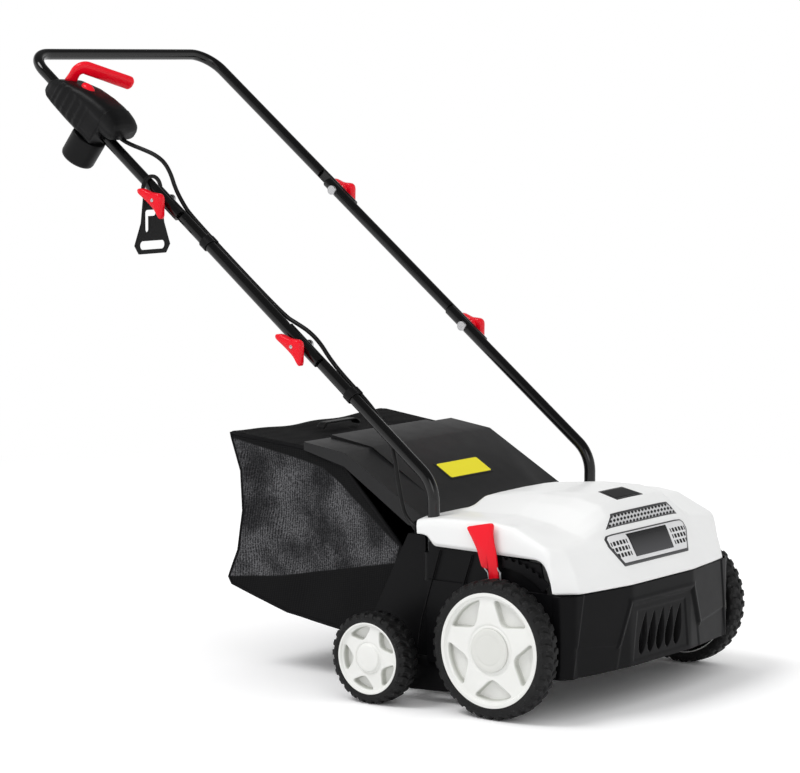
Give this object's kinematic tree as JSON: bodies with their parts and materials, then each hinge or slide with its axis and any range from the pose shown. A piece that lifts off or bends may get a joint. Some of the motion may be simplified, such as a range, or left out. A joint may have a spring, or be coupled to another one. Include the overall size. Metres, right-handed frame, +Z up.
{
  "type": "lawn dethatcher",
  "caption": "Walk-behind electric lawn dethatcher with sprung tines on a belt-driven rotor, a folding tube handle and a mesh catch bag.",
  "frame": {"origin": "on the ground, at the middle of the machine's bounding box", "axes": "+Z up, -Y towards the nose, the handle rises towards +Y, -X is the operator's right hand"},
  "size_m": [0.614, 1.1161, 0.9947],
  "materials": {
    "hood_white": "smooth moulded, satin gloss",
    "housing_black": "fine-textured moulding",
    "axle_steel": "zinc-plated bar",
    "spring_steel": "drawn spring wire",
    "bearing_steel": "ground ring",
    "pulley_alloy": "turned",
    "belt_rubber": "toothed belt",
    "fan_plastic": "moulded",
    "lamp_glass": "dark smoked window",
    "grip_black": "moulded, slightly textured",
    "switch_plastic": "moulded, fine texture",
    "trim_red": "glossy red moulding",
    "wheel_tyre": "lugged moulded tyre",
    "wheel_white": "satin white moulding",
    "wheel_cap": "satin white moulding",
    "bag_fabric": "woven mesh with solid panels",
    "frame_wire": "powder-coated wire",
    "bag_strap": "moulded strap",
    "tube_black": "gloss black lacquer",
    "cable_black": "round flexible cable"
  },
  "bodies": {
    "chassis": {"lower_housing": "housing_black", "notch_quadrant": "axle_steel", "hood": "hood_white", "front_grille": "housing_black", "lamp_window": "lamp_glass", "motor_case": "housing_black", "drive_belt": "belt_rubber", "rotor_bearings": "bearing_steel", "rear_axles": "axle_steel", "flap_pin": "axle_steel", "lower_tube_right": "tube_black", "lower_tube_left": "tube_black", "lower_bolts": "axle_steel", "cable_lower": "cable_black", "cable_fold_lower": "cable_black", "cable_clip_lower": "grip_black", "cable_grommet": "grip_black"},
    "rotor": {"rotor_shaft": "axle_steel", "rotor_pulley": "pulley_alloy", "tine_bars": "axle_steel", "spring_tines": "spring_steel"},
    "motor_rotor": {"motor_shaft": "axle_steel", "motor_fan": "fan_plastic", "motor_pulley": "pulley_alloy"},
    "depth_crank": {"front_axle": "axle_steel", "depth_lever": "trim_red", "lever_clip": "axle_steel"},
    "front_wheel_right": {"front_right_tyre": "wheel_tyre", "front_right_rim": "wheel_white", "front_right_cap": "wheel_cap"},
    "front_wheel_left": {"front_left_tyre": "wheel_tyre", "front_left_rim": "wheel_white", "front_left_cap": "wheel_cap"},
    "rear_wheel_right": {"rear_right_tyre": "wheel_tyre", "rear_right_rim": "wheel_white"},
    "rear_wheel_left": {"rear_left_tyre": "wheel_tyre", "rear_left_rim": "wheel_white"},
    "flap": {"rear_flap": "housing_black"},
    "bag": {"bag_shell": "bag_fabric", "bag_frame": "frame_wire", "bag_handle": "bag_strap"},
    "middle_handle": {"middle_tube_right": "tube_black", "middle_tube_left": "tube_black", "upper_bolts": "axle_steel", "cable_middle": "cable_black", "cable_fold_upper": "cable_black", "cable_clip_upper": "grip_black"},
    "upper_handle": {"upper_bow": "tube_black", "switch_cover": "switch_plastic", "switch_base": "grip_black", "inlet_pins": "axle_steel", "cable_upper": "cable_black", "cable_gland": "grip_black"},
    "bail": {"bail_lever": "trim_red"},
    "safety_button": {"lock_button": "trim_red"},
    "hook": {"cord_hook": "grip_black"},
    "lower_knob_r": {"lower_knob_right": "trim_red"},
    "lower_knob_l": {"lower_knob_left": "trim_red"},
    "upper_knob_r": {"upper_knob_right": "trim_red"},
    "upper_knob_l": {"upper_knob_left": "trim_red"}
  },
  "joints": [
    {"name": "rotor_spin", "type": "hinge", "parent": "chassis", "child": "rotor", "pos_m": [0, -0.312, 0.092], "axis": [1, 0, 0], "continuous": true},
    {"name": "motor_spin", "type": "hinge", "parent": "chassis", "child": "motor_rotor", "pos_m": [0, -0.425, 0.234], "axis": [1, 0, 0], "continuous": true},
    {"name": "depth_setting", "type": "hinge", "parent": "chassis", "child": "depth_crank", "pos_m": [0, -0.416, 0.105], "axis": [1, 0, 0], "range_deg": [0, 36]},
    {"name": "front_right_spin", "type": "hinge", "parent": "depth_crank", "child": "front_wheel_right", "pos_m": [-0.2695, -0.43, 0.105], "axis": [1, 0, 0], "continuous": true},
    {"name": "front_left_spin", "type": "hinge", "parent": "depth_crank", "child": "front_wheel_left", "pos_m": [0.2695, -0.43, 0.105], "axis": [1, 0, 0], "continuous": true},
    {"name": "rear_right_spin", "type": "hinge", "parent": "chassis", "child": "rear_wheel_right", "pos_m": [-0.286, -0.2175, 0.0705], "axis": [1, 0, 0], "continuous": true},
    {"name": "rear_left_spin", "type": "hinge", "parent": "chassis", "child": "rear_wheel_left", "pos_m": [0.286, -0.2175, 0.0705], "axis": [1, 0, 0], "continuous": true},
    {"name": "flap_hinge", "type": "hinge", "parent": "chassis", "child": "flap", "pos_m": [0, -0.247, 0.27], "axis": [1, 0, 0], "range_deg": [0, 60]},
    {"name": "bag_unhook", "type": "slide", "parent": "chassis", "child": "bag", "axis": [0, 0.9781, 0.2079], "range_m": [0, 0.2]},
    {"name": "lower_fold", "type": "hinge", "parent": "chassis", "child": "middle_handle", "pos_m": [0, -0.0265, 0.5319], "axis": [1, 0, 0], "range_deg": [0, 100], "deforming": ["cable_fold_lower"]},
    {"name": "upper_fold", "type": "hinge", "parent": "middle_handle", "child": "upper_handle", "pos_m": [0, 0.2535, 0.75224], "axis": [1, 0, 0], "range_deg": [0, 120], "deforming": ["cable_fold_upper"]},
    {"name": "bail_swing", "type": "hinge", "parent": "upper_handle", "child": "bail", "pos_m": [-0.234, 0.46655, 0.91989], "axis": [0, -0.6184, 0.7859], "range_deg": [0, 30], "stiffness_Nm_per_rad": 0.5},
    {"name": "button_press", "type": "slide", "parent": "upper_handle", "child": "safety_button", "axis": [0, 0.6184, -0.7859], "range_m": [0, 0.004], "stiffness_N_per_m": 300},
    {"name": "hook_swing", "type": "hinge", "parent": "upper_handle", "child": "hook", "pos_m": [-0.2276, 0.2795, 0.78597], "axis": [1, 0, 0], "range_deg": [0, 25]},
    {"name": "lower_right_knob_turn", "type": "hinge", "parent": "chassis", "child": "lower_knob_r", "pos_m": [-0.237, -0.0265, 0.5319], "axis": [1, 0, 0], "continuous": true},
    {"name": "lower_left_knob_turn", "type": "hinge", "parent": "chassis", "child": "lower_knob_l", "pos_m": [0.237, -0.0265, 0.5319], "axis": [1, 0, 0], "continuous": true},
    {"name": "upper_right_knob_turn", "type": "hinge", "parent": "middle_handle", "child": "upper_knob_r", "pos_m": [-0.243, 0.2535, 0.75224], "axis": [1, 0, 0], "continuous": true},
    {"name": "upper_left_knob_turn", "type": "hinge", "parent": "middle_handle", "child": "upper_knob_l", "pos_m": [0.243, 0.2535, 0.75224], "axis": [1, 0, 0], "continuous": true}
  ],
  "couplings": [
    {"joint": "motor_spin", "follows": "rotor_spin", "ratio": 2}
  ]
}
